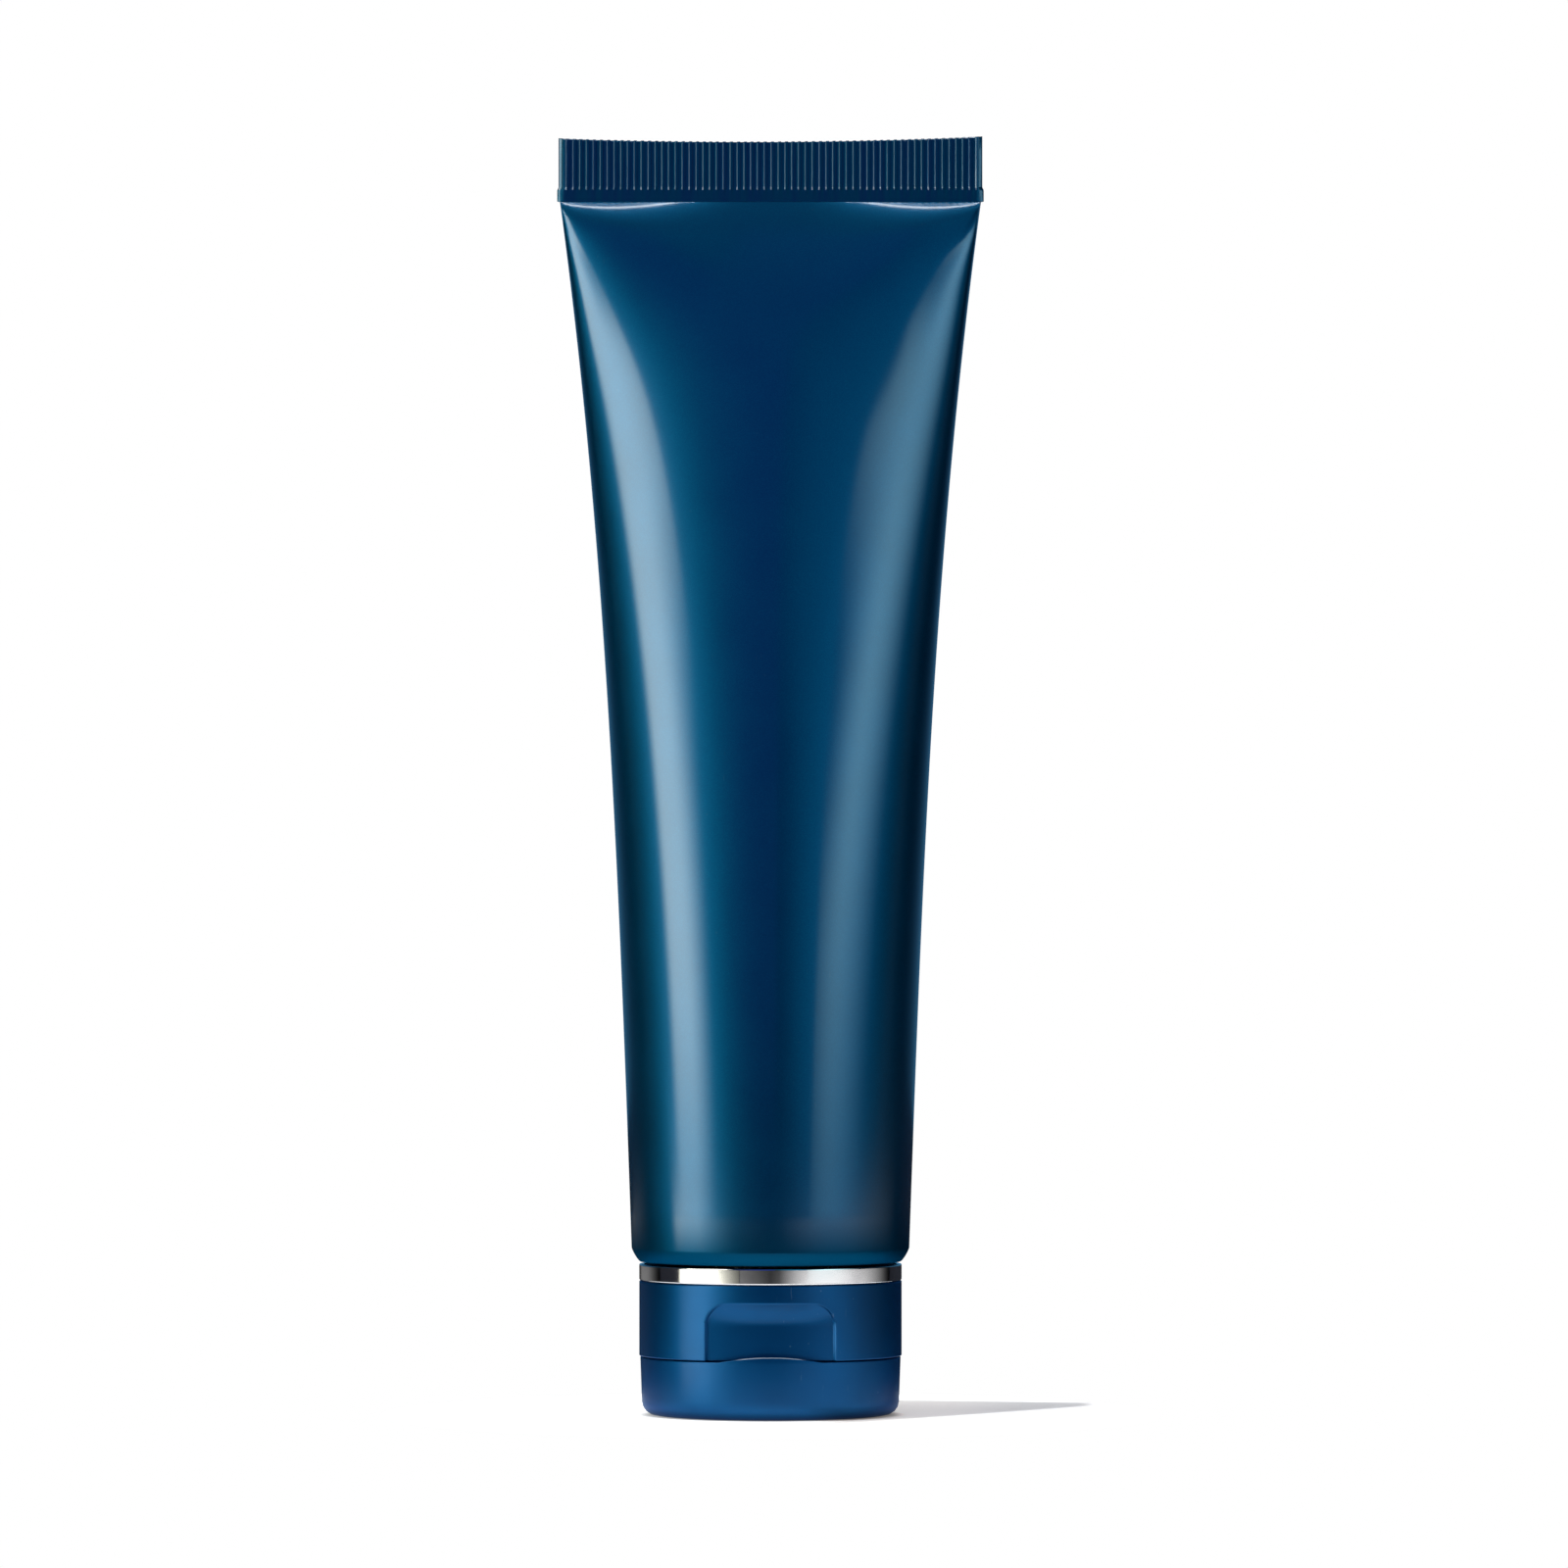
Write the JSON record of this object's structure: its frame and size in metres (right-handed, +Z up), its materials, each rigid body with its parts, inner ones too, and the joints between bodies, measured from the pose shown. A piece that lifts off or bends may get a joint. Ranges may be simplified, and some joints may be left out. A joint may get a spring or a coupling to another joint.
{
  "type": "shaving cream tube",
  "caption": "Squeeze tube of shaving cream that stands on its flip-top screw cap, with a lacquered sleeve, a fluted end seal and a bright band.",
  "frame": {"origin": "centre of the lid's standing face, on the tube's axis", "axes": "+Z up along the tube from the cap to the end seal, -Y towards the thumb recess at the front, +X to the right as seen from the front"},
  "size_m": [0.0614, 0.04, 0.1841],
  "materials": {
    "sleeve_lacquer": "satin",
    "natural_plastic": "satin",
    "shaving_cream": "satin",
    "bright_chrome": "polished",
    "cap_plastic": "satin"
  },
  "bodies": {
    "tube": {"tube_sleeve": "sleeve_lacquer", "tube_shoulder": "natural_plastic", "cream_fill": "shaving_cream"},
    "band": {"chrome_band": "bright_chrome"},
    "cap": {"cap_body": "cap_plastic", "hinge_film": "cap_plastic", "hinge_strap_left": "cap_plastic", "hinge_strap_right": "cap_plastic"},
    "lid": {"flip_lid": "cap_plastic"}
  },
  "joints": [
    {"name": "cap_lift", "type": "slide", "parent": "tube", "child": "band", "axis": [0, 0, -1], "range_m": [0, 0.0064]},
    {"name": "cap_turn", "type": "hinge", "parent": "band", "child": "cap", "pos_m": [0, 0, 0.0103], "axis": [0, 0, -1], "range_deg": [0, 720]},
    {"name": "lid_hinge", "type": "hinge", "parent": "cap", "child": "lid", "pos_m": [0, 0.0182, 0.00845], "axis": [1, 0, 0], "range_deg": [0, 150], "deforming": ["hinge_film", "hinge_strap_left", "hinge_strap_right"]}
  ],
  "couplings": [
    {"joint": "cap_lift", "follows": "cap_turn", "m_per_rad": 0.000509}
  ]
}
